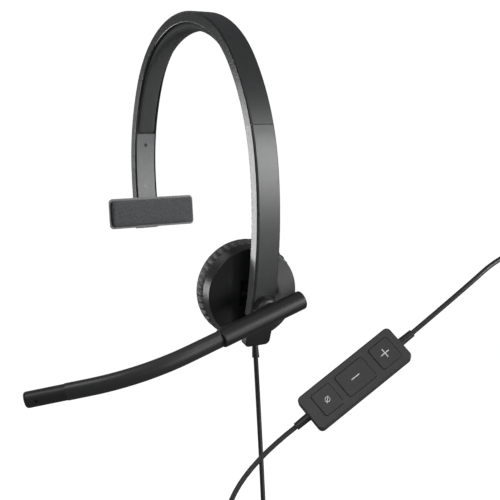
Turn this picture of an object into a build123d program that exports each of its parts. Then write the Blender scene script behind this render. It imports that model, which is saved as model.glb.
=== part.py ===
from build123d import *
from math import asin, cos, degrees, pi, radians, sin, tan
import os

os.makedirs("parts", exist_ok=True)

# A one-ear office headset with a boom microphone, an inline controller and a USB lead.
# Origin: under the crown pad, where the headset rests on the head.
# +X is the ear cup's side, -Y is the wearer's front, +Z is up.

# Headband: outline of three tangent arcs, the same on both sides
BAND_WIDTH = 17.0
BAND_THICK = 7.5
CROWN_TOP = 13.1
CROWN_RADIUS = 73.5
SHOULDER_RADIUS = 141.0
SIDE_RADIUS = 250.0
CROWN_TURN = 59.6
SHOULDER_TURN = 87.3

# Places along the band, as the turn of its outward normal away from straight up
LEFT_END_TURN = -96.8
PAD_TURN = 75.2
PLATE_TURN = -75.4
SPRING_TURNS = (-75.0, 57.5)
CAVITY_TURN = -75.3
SLIDER_TOP_TURN = 61.0
SEAM_TURN = 78.7
SEAM_GROOVE = 0.11
SLIDER_END_TURN = 87.0
CUP_TURN = 107.2
HUB_TURN = 108.3
ARM_END_TURN = 109.6
POD_END_TURN = 114.25
END_WALL_TURN = 0.5

# Layers of the band, as depths under its outer face
COVER_SKIN = 1.2
COVER_DEPTH = 2.2
CAVITY_DEPTHS = (3.0, 5.0)
SEAT_DEPTH = 6.1
COVER_EDGE = 1.0
FRAME_EDGE = 0.8
COVER_WIDTH = 16.4
TONGUE_WIDTH = 15.0
CAVITY_WIDTH = 11.4
SEAT_WIDTH = 14.2
SPRING_WIDTH = 10.0
SPRING_THICK = 0.8
SLIDER_CLEARANCE = 0.08
SLIDER_SCREW_TURNS = (81.5, 84.5)
PLATE_SCREW_TURNS = (-78.9, -89.8)
NOTCH_RADIUS = 0.6
NOTCH_SINK = 0.3
DETENT_TURNS = (69.5, 77.0)

# Head pad
PAD_WIDTH = 13.6
PAD_END_DEPTH = 8.7

# T-bar
TBAR_Z = -117.5
TBAR_LENGTH = 68.0
TBAR_HEIGHT = 21.5
TBAR_TRAY_BACK = -70.2
TBAR_TRAY_THICK = 1.8
TBAR_PAD_THICK = 4.2
TBAR_AXIS_X = -71.9
TBAR_PIN_RADIUS = 0.8
TBAR_LUG_Y = 6.0
TBAR_TURN = -94.0

# Boom and its hub
HUB_RADIUS = 8.2
HUB_SEAT = 0.3
AXLE_RADIUS = 2.0
BARREL_OFFSET = 9.0
BARREL_RADIUS = 5.9
BARREL_REAR = 22.5
BARREL_FRONT = 36.5
BOOM_DROOP = 18.2
BOOM_HEIGHT = 11.2
BOOM_THICK = 7.2
BOOM_STRAIGHT = 58.0
BOOM_BEND_RADIUS = 140.0
BOOM_BEND = 25.0
BOOM_NECK = 11.0
BOOM_LAST = 12.5
CORE_RADIUS = 1.3
BARREL_BORE = 3.8
MIC_LENGTH = 24.0
MIC_HEIGHT = 10.5
MIC_HOLE_RISE = 0.3
MIC_DEPTH = 3.4

# Cord pod at the arm's end
POD_DEPTHS = (0.4, 5.0)
POD_WIDTH = 18.2
POD_EXIT_DEPTH = 2.7
POD_SCREW_TURN = 111.8
POD_RELIEF_LENGTH = 8.5
POD_CORNER = 3.0
RELIEF_GRIP = 2.2

# Ear cup
CUP_GAP = 6.0
CUP_SWIVEL_REST = 12.4
CUP_TILT_REST = 7.3
CUP_FACE_RADIUS = 28.8
CUP_RIM_RADIUS = 30.3
CUP_RIM_DEPTH = 7.4
CUSHION_RADIUS = 32.0
CUSHION_HOLE = 17.5
CUSHION_DEPTH = 12.0
CUP_WALL = 1.6
GIMBAL_DEPTH = 5.0
GIMBAL_LUG = 6.5
GIMBAL_PIN = 1.0
POCKET_SIDE = 16.4
POCKET_DEPTH = 3.2
BAFFLE_RADIUS = 27.0
BAFFLE_THICK = 1.6
SPEAKER_RADIUS = 15.5
SPEAKER_MAGNET = 8.0
CUP_SCREW_PLACES = [(22 * cos(radians(turn)), 22 * sin(radians(turn))) for turn in (60, 180, 300)]

# Inline controller: its plane is the key face
CONTROLLER = Plane(origin=(120.8, 27.6, -218.4), x_dir=(0.30, 0.78, 0.55), z_dir=(0.71, -0.57, 0.42))
CONTROL_LENGTH = 70.0
CONTROL_WIDTH = 23.5
CONTROL_THICK = 10.5
CONTROL_SPLIT = 4.5
CONTROL_WALL = 1.4
KEY_WIDTH = 15.0
KEY_PLACES = {"plus_key": (23.2, 14.0), "minus_key": (0.7, 20.4), "mute_key": (-20.6, 13.4)}
KEY_GAP = 0.2
KEY_PROUD = 0.4
RELIEF_LENGTH = 9.5
RELIEF_RADII = (2.5, 2.3)
CLIP_AXIS_X = 6.0
CLIP_AXIS_DEPTH = 12.5
CLIP_PIN = 0.8
CLIP_LUG = 4.7
LEAD_Z = -4.6
CONTROL_SCREW_PLACES = [(x, y) for x in (-31.0, 13.55) for y in (-8.4, 8.4)]

# Cords
CORD_RADIUS = 1.5
COIL_RADIUS = 18.0
COIL_TURNS = 10
COIL_PITCH = 3.05
COIL_START = Vector(150.0, 170.0, -225.0)
COIL_ENTRY = 9.0
TAIL_LENGTH = 55.0

# USB plug
PLUG_WIDTH = 16.0
PLUG_THICK = 8.0


# ---------------------------------------------------------------- helpers

CROWN_CENTRE = (0.0, CROWN_TOP - CROWN_RADIUS)


def centre_after(centre, radius, next_radius, turn):
    """Centre of the arc that carries on, tangent, where the outline has turned this far."""
    step = radius - next_radius
    return (centre[0] + step * sin(radians(turn)), centre[1] + step * cos(radians(turn)))


SHOULDER_CENTRE = centre_after(CROWN_CENTRE, CROWN_RADIUS, SHOULDER_RADIUS, CROWN_TURN)
SIDE_CENTRE = centre_after(SHOULDER_CENTRE, SHOULDER_RADIUS, SIDE_RADIUS, SHOULDER_TURN)


def outline(turn, depth=0.0):
    """Point (x, z) of the band at this turn, this far under its outer face."""
    side = 1 if turn >= 0 else -1
    swing = abs(turn)
    centre, radius = CROWN_CENTRE, CROWN_RADIUS
    if swing > CROWN_TURN:
        centre, radius = SHOULDER_CENTRE, SHOULDER_RADIUS
    if swing > SHOULDER_TURN:
        centre, radius = SIDE_CENTRE, SIDE_RADIUS
    reach = radius - depth
    return (side * (centre[0] + reach * sin(radians(swing))), centre[1] + reach * cos(radians(swing)))


def follow(turn_from, turn_to, depth):
    """Draw the band's arcs at this depth in the line being built."""
    limits = (-SHOULDER_TURN, -CROWN_TURN, CROWN_TURN, SHOULDER_TURN)
    stops = [turn_from] + [turn for turn in limits if turn_from < turn < turn_to] + [turn_to]
    for start, end in zip(stops, stops[1:]):
        ThreePointArc(outline(start, depth), outline((start + end) / 2, depth), outline(end, depth))


def strip(turn_from, turn_to, depth_out, depth_in, width, mode=Mode.ADD):
    """Add or cut a layer that follows the band."""
    with BuildSketch(Plane.XZ) as layer:
        with BuildLine():
            follow(turn_from, turn_to, depth_out)
            follow(turn_from, turn_to, depth_in)
            Line(outline(turn_from, depth_out), outline(turn_from, depth_in))
            Line(outline(turn_to, depth_out), outline(turn_to, depth_in))
        make_face()
    extrude(layer.sketch, amount=width / 2, both=True, mode=mode)


def normal_plane(turn, depth=0.0):
    """Plane on the band: its normal points outward and its x axis to the wearer's front."""
    side = 1 if turn >= 0 else -1
    x, z = outline(turn, depth)
    outward = (side * sin(radians(abs(turn))), 0, cos(radians(turn)))
    return Plane(origin=(x, 0, z), x_dir=(0, -1, 0), z_dir=outward)


def disc(plane, radius, height, mode=Mode.ADD, at=(0, 0)):
    """Add or cut a cylinder that rises from the plane."""
    with BuildSketch(plane) as circle:
        with Locations(at):
            Circle(radius)
    extrude(circle.sketch, amount=height, mode=mode)


def block(plane, length, width, height, mode=Mode.ADD, at=(0, 0), corner=0.0):
    """Add or cut a plate that rises from the plane, its corners rounded if asked."""
    with BuildSketch(plane) as face:
        with Locations(at):
            if corner:
                RectangleRounded(length, width, corner)
            else:
                Rectangle(length, width)
    extrude(face.sketch, amount=height, mode=mode)


def screw(plane, head_radius, head_height, shank_radius, shank_length):
    """A cross-head screw that goes down into the plane, its head's top on the plane."""
    disc(plane, head_radius, -head_height)
    disc(plane.offset(-head_height), shank_radius, -shank_length)
    for length, width in ((head_radius * 1.2, head_radius * 0.25), (head_radius * 0.25, head_radius * 1.2)):
        block(plane, length, width, -head_height / 2, Mode.SUBTRACT)


def screw_hole(plane, head_radius, head_height, shank_radius, shank_length):
    """The counterbored hole that a screw fills."""
    disc(plane.offset(1.0), head_radius, -head_height - 1.0, Mode.SUBTRACT)
    disc(plane, shank_radius, -head_height - shank_length, Mode.SUBTRACT)


def outer_edges(builder):
    """The two long edges of a band piece's outer face."""
    outer_radii = (CROWN_RADIUS, SHOULDER_RADIUS, SIDE_RADIUS)
    arcs = builder.edges().filter_by(GeomType.CIRCLE)
    return arcs.filter_by(lambda edge: round(edge.radius, 3) in outer_radii)


def inner_edges(builder):
    """The two long edges of a frame piece's inner face."""
    inner_radii = tuple(radius - BAND_THICK for radius in (CROWN_RADIUS, SHOULDER_RADIUS, SIDE_RADIUS))
    arcs = builder.edges().filter_by(GeomType.CIRCLE)
    return arcs.filter_by(lambda edge: round(edge.radius, 3) in inner_radii)


def tray_back_edges(builder):
    """The rim of the face that looks toward -X."""
    return builder.faces().sort_by(Axis.X)[0].edges()


def save(builder, name):
    """Label a finished piece and write it as its own file."""
    builder.part.label = name
    export_step(builder.part, f"parts/{name}.step")


def cord_tube(points):
    """A round tube along straight runs joined by arcs as large as the runs allow."""
    route = [Vector(*point) for point in points]
    runs = [end - start for start, end in zip(route, route[1:])]
    radii = []
    for run, after in zip(runs, runs[1:]):
        half_turn = radians(run.get_angle(after)) / 2
        radii.append(0.45 * min(run.length, after.length) / tan(half_turn))
    with BuildPart() as tube:
        with BuildLine() as path:
            FilletPolyline(*route, radius=radii)
        with BuildSketch(Plane(origin=route[0], z_dir=runs[0])):
            Circle(CORD_RADIUS)
        sweep(path=path.wires()[0])
    length = path.wires()[0].length
    filled = tube.part.volume / (pi * CORD_RADIUS**2 * length)
    print("cord length", round(length, 1), "volume ratio", round(filled, 4), "radii", [round(r) for r in radii])
    return tube


# Planes that several pieces share
left_face_x = outline(TBAR_TURN, BAND_THICK)[0]
TBAR_MOUNT = Plane(origin=(left_face_x, 0, TBAR_Z), x_dir=(0, 1, 0), z_dir=(1, 0, 0))
TBAR_BASE = (11.0, 13.0)

exit_x, exit_z = outline(POD_END_TURN, POD_EXIT_DEPTH)
POD_EXIT = Plane(origin=(exit_x, 0, exit_z), z_dir=(0, 0, -1))

HUB = normal_plane(HUB_TURN)
boom_forward = Plane(HUB.location * Rotation(0, 0, BOOM_DROOP)).x_dir
BOOM_PLANE = Plane(origin=HUB.offset(BARREL_OFFSET).origin, x_dir=boom_forward,
                   z_dir=boom_forward.cross(HUB.z_dir))
BARREL = Plane(origin=BOOM_PLANE.origin, x_dir=BOOM_PLANE.z_dir, z_dir=boom_forward)

BRACKET = -normal_plane(CUP_TURN, BAND_THICK)
gimbal_centre = BRACKET.offset(GIMBAL_DEPTH).origin
LEVEL = Plane(origin=gimbal_centre, x_dir=BRACKET.x_dir, z_dir=-BRACKET.z_dir)
SWIVEL = Plane(LEVEL.location * Rotation(0, CUP_SWIVEL_REST, 0))
CUP = Plane(SWIVEL.location * Rotation(CUP_TILT_REST, 0, 0))
CUP_FACE = CUP.offset(GIMBAL_DEPTH - CUP_GAP)
SPEAKER = CUP_FACE.offset(-CUP_RIM_DEPTH)

FRONTWARD = Axis(CONTROLLER.origin, CONTROLLER.z_dir)
LEAD_AXIS = Plane(origin=CONTROLLER.from_local_coords((-CONTROL_LENGTH / 2 - 2, 0, LEAD_Z)),
                  z_dir=CONTROLLER.x_dir)


def shifted(plane, x, y, z):
    """The same plane moved to this place in its own axes."""
    return Plane(origin=plane.from_local_coords((x, y, z)), x_dir=plane.x_dir, z_dir=plane.z_dir)


def swivel_bore(start):
    """Plane across the cup's swivel axis, this far along it."""
    return Plane(origin=gimbal_centre + SWIVEL.y_dir * start, z_dir=SWIVEL.y_dir)


def tilt_bore(start):
    """Plane across the cup's tilt axis, this far along it."""
    return Plane(origin=gimbal_centre + SWIVEL.x_dir * start, z_dir=SWIVEL.x_dir)


def clip_bore(start):
    """Plane across the clip's pin, this far along it."""
    origin = CONTROLLER.from_local_coords((CLIP_AXIS_X, start, -CLIP_AXIS_DEPTH))
    return Plane(origin=origin, z_dir=CONTROLLER.y_dir)


# ---------------------------------------------------------------- headband

with BuildPart() as headband_outer_cover:
    strip(LEFT_END_TURN, SEAM_TURN - SEAM_GROOVE, 0, COVER_SKIN, COVER_WIDTH)
    fillet(outer_edges(headband_outer_cover), COVER_EDGE)
    strip(LEFT_END_TURN + END_WALL_TURN, SEAM_TURN, COVER_SKIN, COVER_DEPTH, TONGUE_WIDTH)
save(headband_outer_cover, "headband_outer_cover")

with BuildPart() as headband_frame:
    strip(LEFT_END_TURN, SEAM_TURN, COVER_SKIN, BAND_THICK, BAND_WIDTH)
    fillet(inner_edges(headband_frame), FRAME_EDGE)
    strip(LEFT_END_TURN + END_WALL_TURN, SEAM_TURN, COVER_SKIN, COVER_DEPTH, TONGUE_WIDTH, Mode.SUBTRACT)
    strip(CAVITY_TURN, SEAM_TURN, *CAVITY_DEPTHS, CAVITY_WIDTH, Mode.SUBTRACT)
    strip(LEFT_END_TURN + END_WALL_TURN, PAD_TURN + 0.2, SEAT_DEPTH, BAND_THICK, SEAT_WIDTH, Mode.SUBTRACT)
    strip(*DETENT_TURNS, CAVITY_DEPTHS[1], CAVITY_DEPTHS[1] + 0.6, 6.4, Mode.SUBTRACT)
    for turn in PLATE_SCREW_TURNS:
        screw_hole(-normal_plane(turn, BAND_THICK), 1.4, 0.9, 0.8, 3.2)
save(headband_frame, "headband_frame")

with BuildPart() as headband_spring_strip:
    strip(*SPRING_TURNS, CAVITY_DEPTHS[0], CAVITY_DEPTHS[0] + SPRING_THICK, SPRING_WIDTH)
save(headband_spring_strip, "headband_spring_strip")

with BuildPart() as slider_detent_spring:
    strip(*DETENT_TURNS, CAVITY_DEPTHS[1] + 0.1, CAVITY_DEPTHS[1] + 0.5, 6.0)
save(slider_detent_spring, "slider_detent_spring")

with BuildPart() as head_pad:
    with BuildSketch(Plane.XZ) as pad_profile:
        with BuildLine():
            follow(-PAD_TURN, PAD_TURN, SEAT_DEPTH)
            left_end = Line(outline(-PAD_TURN, SEAT_DEPTH), outline(-PAD_TURN, PAD_END_DEPTH))
            right_end = Line(outline(PAD_TURN, SEAT_DEPTH), outline(PAD_TURN, PAD_END_DEPTH))
            Spline(left_end @ 1, outline(-52, 10.0), outline(-24, 12.4), (0, 0),
                   outline(24, 12.4), outline(52, 10.0), right_end @ 1)
        make_face()
    extrude(pad_profile.sketch, amount=PAD_WIDTH / 2, both=True)
save(head_pad, "head_pad")

with BuildPart() as left_inner_plate:
    strip(LEFT_END_TURN + END_WALL_TURN, PLATE_TURN, SEAT_DEPTH, BAND_THICK, SEAT_WIDTH - 0.2)
    for turn in PLATE_SCREW_TURNS:
        screw_hole(-normal_plane(turn, BAND_THICK), 1.4, 0.9, 0.8, 3.2)
    block(TBAR_MOUNT.offset(-3), *TBAR_BASE, 6, Mode.SUBTRACT)
save(left_inner_plate, "left_inner_plate")

with BuildPart() as left_plate_screws:
    for turn in PLATE_SCREW_TURNS:
        screw(-normal_plane(turn, BAND_THICK), 1.4, 0.9, 0.8, 3.0)
save(left_plate_screws, "left_plate_screws")

# ---------------------------------------------------------------- T-bar

with BuildPart() as t_bar_bracket:
    block(TBAR_MOUNT.offset(-0.8), *TBAR_BASE, 1.7)
    flange = TBAR_MOUNT.offset(0.9)
    block(flange, 15.0, 13.0, 0.6)
    for side in (-1, 1):
        block(flange, 2.0, 3.0, TBAR_AXIS_X - flange.origin.X, at=(side * TBAR_LUG_Y, 0))
        disc(Plane(origin=(TBAR_AXIS_X, side * TBAR_LUG_Y - 1, TBAR_Z), z_dir=(0, 1, 0)), 1.5, 2.0)
    disc(Plane(origin=(TBAR_AXIS_X, -5, TBAR_Z), z_dir=(0, 1, 0)), 2.1, 10, Mode.SUBTRACT)
    disc(Plane(origin=(TBAR_AXIS_X, -9, TBAR_Z), z_dir=(0, 1, 0)), TBAR_PIN_RADIUS, 18, Mode.SUBTRACT)
save(t_bar_bracket, "t_bar_bracket")

with BuildPart() as t_bar_pin:
    disc(Plane(origin=(TBAR_AXIS_X, -TBAR_LUG_Y - 1, TBAR_Z), z_dir=(0, 1, 0)), TBAR_PIN_RADIUS, 2 * TBAR_LUG_Y + 2)
save(t_bar_pin, "t_bar_pin")

with BuildPart() as t_bar_tray:
    tray_back = Plane(origin=(TBAR_TRAY_BACK, 0, TBAR_Z), x_dir=(0, 1, 0), z_dir=(1, 0, 0))
    block(tray_back, TBAR_LENGTH, TBAR_HEIGHT, TBAR_TRAY_THICK, corner=3.0)
    fillet(tray_back_edges(t_bar_tray), 0.8)
    block(tray_back.offset(TBAR_TRAY_THICK), TBAR_LENGTH - 2.4, TBAR_HEIGHT - 2.4, -0.5, Mode.SUBTRACT, corner=2.0)
    knuckle_half = TBAR_LUG_Y - 1.2
    block(tray_back, 2 * knuckle_half, 3.4, TBAR_AXIS_X - TBAR_TRAY_BACK)
    knuckle = Plane(origin=(TBAR_AXIS_X, -knuckle_half, TBAR_Z), z_dir=(0, 1, 0))
    disc(knuckle, 1.7, 2 * knuckle_half)
    disc(knuckle, TBAR_PIN_RADIUS + 0.05, 2 * knuckle_half, Mode.SUBTRACT)
save(t_bar_tray, "t_bar_tray")

with BuildPart() as t_bar_pad:
    pad_back = Plane(origin=(TBAR_TRAY_BACK + TBAR_TRAY_THICK - 0.5, 0, TBAR_Z), x_dir=(0, 1, 0), z_dir=(1, 0, 0))
    block(pad_back, TBAR_LENGTH - 2.6, TBAR_HEIGHT - 2.6, TBAR_PAD_THICK, corner=2.0)
    fillet(t_bar_pad.faces().sort_by(Axis.X)[-1].edges(), 1.2)
save(t_bar_pad, "t_bar_pad")

# ---------------------------------------------------------------- right arm

with BuildPart() as arm_outer_cover:
    strip(SEAM_TURN + SEAM_GROOVE, ARM_END_TURN, 0, COVER_SKIN, COVER_WIDTH)
    fillet(outer_edges(arm_outer_cover), COVER_EDGE)
    strip(SEAM_TURN, ARM_END_TURN, COVER_SKIN, COVER_DEPTH, TONGUE_WIDTH)
    disc(HUB.offset(-HUB_SEAT), HUB_RADIUS + 0.4, 3, Mode.SUBTRACT)
    disc(HUB.offset(-5), AXLE_RADIUS, 8, Mode.SUBTRACT)
save(arm_outer_cover, "arm_outer_cover")

with BuildPart() as arm_frame:
    strip(SEAM_TURN, ARM_END_TURN, COVER_SKIN, BAND_THICK, BAND_WIDTH)
    fillet(inner_edges(arm_frame), FRAME_EDGE)
    strip(SEAM_TURN, ARM_END_TURN, COVER_SKIN, COVER_DEPTH, TONGUE_WIDTH, Mode.SUBTRACT)
    strip(SEAM_TURN, ARM_END_TURN, *CAVITY_DEPTHS, CAVITY_WIDTH, Mode.SUBTRACT)
    disc(HUB.offset(-HUB_SEAT), HUB_RADIUS + 0.4, 3, Mode.SUBTRACT)
    disc(HUB.offset(-CAVITY_DEPTHS[1] + 0.2), 4.2, CAVITY_DEPTHS[1], Mode.SUBTRACT)
    block(BRACKET.offset(-0.8), 16.0, 15.0, 2, Mode.SUBTRACT)
    for turn in SLIDER_SCREW_TURNS:
        screw_hole(-normal_plane(turn, BAND_THICK), 1.4, 0.9, 0.8, 3.2)
save(arm_frame, "arm_frame")

with BuildPart() as slider_strip:
    slider_depths = (CAVITY_DEPTHS[0] + SLIDER_CLEARANCE, CAVITY_DEPTHS[1] - SLIDER_CLEARANCE)
    strip(SLIDER_TOP_TURN, SLIDER_END_TURN, *slider_depths, CAVITY_WIDTH - 0.2)
    for step in range(6):
        notch = normal_plane(DETENT_TURNS[0] - 1.3 * step, slider_depths[1] + NOTCH_RADIUS - NOTCH_SINK)
        across = Plane(origin=notch.origin - Vector(0, 4, 0), z_dir=(0, 1, 0))
        disc(across, NOTCH_RADIUS, 8, Mode.SUBTRACT)
    for turn in SLIDER_SCREW_TURNS:
        screw_hole(-normal_plane(turn, BAND_THICK), 1.4, 0.9, 0.8, 3.2)
save(slider_strip, "slider_strip")

with BuildPart() as slider_screws:
    for turn in SLIDER_SCREW_TURNS:
        screw(-normal_plane(turn, BAND_THICK), 1.4, 0.9, 0.8, 3.0)
save(slider_screws, "slider_screws")

with BuildPart() as cord_pod:
    strip(ARM_END_TURN, POD_END_TURN, *POD_DEPTHS, POD_WIDTH)
    pod_end = cord_pod.faces().sort_by(Axis.Z)[0]
    fillet(pod_end.edges().filter_by(lambda edge: abs(edge.tangent_at(0).Y) < 0.1), POD_CORNER)
    strip(ARM_END_TURN - 0.3, ARM_END_TURN, *CAVITY_DEPTHS, CAVITY_WIDTH)
    screw_hole(-normal_plane(POD_SCREW_TURN, POD_DEPTHS[1]), 1.2, 0.8, 0.7, 2.4)
    disc(POD_EXIT.offset(-2.5), RELIEF_GRIP, 6, Mode.SUBTRACT)
save(cord_pod, "cord_pod")

with BuildPart() as cord_pod_screw:
    screw(-normal_plane(POD_SCREW_TURN, POD_DEPTHS[1]), 1.2, 0.8, 0.7, 2.2)
save(cord_pod_screw, "cord_pod_screw")

with BuildPart() as pod_strain_relief:
    disc(POD_EXIT.offset(-2.5), RELIEF_GRIP, 3.5)
    with BuildSketch(POD_EXIT.offset(1.0)):
        Circle(1.9)
    with BuildSketch(POD_EXIT.offset(POD_RELIEF_LENGTH)):
        Circle(2.3)
    loft()
save(pod_strain_relief, "pod_strain_relief")

# ---------------------------------------------------------------- boom

with BuildPart() as hub_axle:
    disc(HUB.offset(-CAVITY_DEPTHS[1] + 0.2), 4.0, CAVITY_DEPTHS[1] - COVER_DEPTH - 0.4)
    disc(HUB.offset(-CAVITY_DEPTHS[1] + 0.2), AXLE_RADIUS, CAVITY_DEPTHS[1] + 2.9)
    disc(HUB.offset(2.3), AXLE_RADIUS + 0.8, 0.8)
save(hub_axle, "hub_axle")

with BuildPart() as hub_friction_washer:
    disc(HUB.offset(-HUB_SEAT), HUB_RADIUS - 0.6, 0.4)
    disc(HUB.offset(-HUB_SEAT), AXLE_RADIUS, 0.4, Mode.SUBTRACT)
save(hub_friction_washer, "hub_friction_washer")

with BuildPart() as boom_hub:
    disc(HUB.offset(0.15), HUB_RADIUS, 5.6)
    fillet(boom_hub.faces().sort_by(Axis(HUB.origin, HUB.z_dir))[-1].edges(), 2.6)
    disc(HUB.offset(0.15), AXLE_RADIUS + 0.05, 6, Mode.SUBTRACT)
    disc(HUB.offset(2.2), AXLE_RADIUS + 0.9, 4, Mode.SUBTRACT)
    disc(BARREL.offset(-BARREL_REAR), BARREL_RADIUS, BARREL_REAR + BARREL_FRONT, Mode.SUBTRACT)
save(boom_hub, "boom_hub")

with BuildPart() as boom_barrel:
    disc(BARREL.offset(-BARREL_REAR), BARREL_RADIUS, BARREL_REAR + BARREL_FRONT)
    fillet(boom_barrel.edges().filter_by(GeomType.CIRCLE), 0.9)
    disc(BARREL.offset(-BARREL_REAR + 3), BARREL_BORE, BARREL_REAR + BARREL_FRONT, Mode.SUBTRACT)
save(boom_barrel, "boom_barrel")

with BuildLine(BOOM_PLANE) as boom_path:
    Line((BARREL_FRONT, 0), (BOOM_STRAIGHT, 0))
    JernArc((BOOM_STRAIGHT, 0), (1, 0), BOOM_BEND_RADIUS, -BOOM_BEND)
    Line(boom_path.line @ 1, boom_path.line @ 1 + (boom_path.line % 1) * BOOM_LAST)
boom_end = boom_path.line @ 1
MIC_PLANE = Plane(origin=boom_end, x_dir=BOOM_PLANE.z_dir, z_dir=boom_path.line % 1)
MIC_FACE = Plane(origin=MIC_PLANE.from_local_coords((MIC_HOLE_RISE, -BOOM_THICK / 2, 17)), z_dir=-MIC_PLANE.y_dir)

with BuildPart() as boom_tube:
    with BuildSketch(BARREL.offset(BARREL_FRONT)) as boom_section:
        Ellipse(BOOM_HEIGHT / 2, BOOM_THICK / 2)
    sweep(boom_section.sketch, path=boom_path.wires()[0])
    disc(BARREL.offset(BARREL_FRONT - BOOM_NECK), BARREL_BORE - 0.05, BOOM_NECK)
    with BuildSketch(BARREL.offset(BARREL_FRONT)) as boom_bore:
        Circle(CORE_RADIUS)
    sweep(boom_bore.sketch, path=boom_path.wires()[0], mode=Mode.SUBTRACT)
save(boom_tube, "boom_tube")

with BuildPart() as boom_core_wire:
    with BuildSketch(BARREL.offset(BARREL_FRONT)) as core_section:
        Circle(CORE_RADIUS - 0.1)
    sweep(core_section.sketch, path=boom_path.wires()[0])
save(boom_core_wire, "boom_core_wire")

with BuildPart() as mic_cap:
    with BuildSketch(MIC_PLANE) as cap_section:
        Ellipse(MIC_HEIGHT / 2, BOOM_THICK / 2)
    extrude(cap_section.sketch, amount=MIC_LENGTH)
    fillet(mic_cap.faces().sort_by(Axis(MIC_PLANE.origin, MIC_PLANE.z_dir))[-1].edges(), 2.0)
    disc(MIC_FACE.offset(-MIC_DEPTH), 2.6, 2.0, Mode.SUBTRACT)
    disc(MIC_FACE.offset(-MIC_DEPTH), 1.2, 8.0, Mode.SUBTRACT)
save(mic_cap, "mic_cap")

with BuildPart() as mic_capsule:
    disc(MIC_FACE.offset(-MIC_DEPTH), 2.6, 1.6)
save(mic_capsule, "mic_capsule")

with BuildPart() as mic_screen:
    disc(MIC_FACE.offset(-0.9), 1.2, 0.3)
save(mic_screen, "mic_screen")

# ---------------------------------------------------------------- ear cup

with BuildPart() as cup_bracket:
    block(BRACKET.offset(-0.8), 15.8, 14.8, 1.2)
    for side in (-1, 1):
        lug = shifted(BRACKET, 0, side * GIMBAL_LUG, 0)
        block(lug, 4.0, 2.0, GIMBAL_DEPTH)
        lug_face = Plane(origin=lug.from_local_coords((0, -1, GIMBAL_DEPTH)), z_dir=BRACKET.y_dir)
        disc(lug_face, 2.0, 2.0)
    disc(swivel_bore(-9), GIMBAL_PIN + 0.05, 18, Mode.SUBTRACT)
save(cup_bracket, "cup_bracket")

with BuildPart() as cup_gimbal:
    block(SWIVEL.offset(-1.5), 7.0, 7.0, 3.0)
    disc(swivel_bore(-GIMBAL_LUG - 1), GIMBAL_PIN, 2 * GIMBAL_LUG + 2)
    disc(tilt_bore(-GIMBAL_LUG - 1), GIMBAL_PIN, 2 * GIMBAL_LUG + 2)
save(cup_gimbal, "cup_gimbal")

with BuildPart() as cup_shell:
    with BuildSketch(CUP_FACE):
        Circle(CUP_FACE_RADIUS)
    with BuildSketch(CUP_FACE.offset(-CUP_RIM_DEPTH)):
        Circle(CUP_RIM_RADIUS)
    loft()
    fillet(cup_shell.faces().sort_by(Axis(CUP_FACE.origin, CUP_FACE.z_dir))[-1].edges(), 0.6)
    disc(CUP_FACE.offset(-CUP_WALL), CUP_FACE_RADIUS - CUP_WALL, -CUP_RIM_DEPTH, Mode.SUBTRACT)
    block(CUP_FACE.offset(-POCKET_DEPTH - 1.2), POCKET_SIDE + 2.4, POCKET_SIDE + 2.4, POCKET_DEPTH)
    for place in CUP_SCREW_PLACES:
        disc(CUP_FACE.offset(-CUP_RIM_DEPTH + BAFFLE_THICK), 2.2, CUP_RIM_DEPTH - BAFFLE_THICK - 1, at=place)
    block(CUP_FACE.offset(-POCKET_DEPTH), POCKET_SIDE, POCKET_SIDE, POCKET_DEPTH + 1, Mode.SUBTRACT)
    for side in (-1, 1):
        block(CUP_FACE.offset(-POCKET_DEPTH), 2.0, 4.0, POCKET_DEPTH + 1.0, at=(side * GIMBAL_LUG, 0))
        lug_face = Plane(origin=CUP.from_local_coords((side * GIMBAL_LUG - 1, 0, 0)), z_dir=CUP.x_dir)
        disc(lug_face, 1.6, 2.0)
    disc(tilt_bore(-8.6), GIMBAL_PIN + 0.05, 17.2, Mode.SUBTRACT)
    for place in CUP_SCREW_PLACES:
        disc(CUP_FACE.offset(-CUP_RIM_DEPTH), 0.9, CUP_RIM_DEPTH - 1.4, Mode.SUBTRACT, at=place)
save(cup_shell, "cup_shell")

with BuildPart() as cup_baffle:
    disc(CUP_FACE.offset(-CUP_RIM_DEPTH), BAFFLE_RADIUS, BAFFLE_THICK)
    disc(CUP_FACE.offset(-CUP_RIM_DEPTH), SPEAKER_RADIUS - 3, BAFFLE_THICK, Mode.SUBTRACT)
    for place in CUP_SCREW_PLACES:
        disc(CUP_FACE.offset(-CUP_RIM_DEPTH), 1.5, 0.9, Mode.SUBTRACT, at=place)
        disc(CUP_FACE.offset(-CUP_RIM_DEPTH), 0.9, BAFFLE_THICK, Mode.SUBTRACT, at=place)
save(cup_baffle, "cup_baffle")

with BuildPart() as cup_screws:
    for place in CUP_SCREW_PLACES:
        head = -shifted(CUP_FACE, *place, -CUP_RIM_DEPTH)
        screw(head, 1.5, 0.9, 0.9, 4.2)
save(cup_screws, "cup_screws")

with BuildPart() as speaker_basket:
    disc(SPEAKER, SPEAKER_RADIUS, -4.0)
    disc(SPEAKER.offset(-4.0), SPEAKER_RADIUS - 1.0, 3.0, Mode.SUBTRACT)
    disc(SPEAKER, SPEAKER_MAGNET, -4.0, Mode.SUBTRACT)
    for index in range(6):
        vent = (11.4 * cos(radians(60 * index)), 11.4 * sin(radians(60 * index)))
        disc(SPEAKER, 1.6, -2.0, Mode.SUBTRACT, at=vent)
save(speaker_basket, "speaker_basket")

with BuildPart() as speaker_magnet:
    disc(SPEAKER.offset(1.0), SPEAKER_MAGNET, -3.2)
save(speaker_magnet, "speaker_magnet")

with BuildPart() as speaker_diaphragm:
    disc(SPEAKER.offset(-3.9), SPEAKER_RADIUS - 1.0, 0.4)
    disc(SPEAKER.offset(-3.5), 4.0, 1.0)
save(speaker_diaphragm, "speaker_diaphragm")

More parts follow.
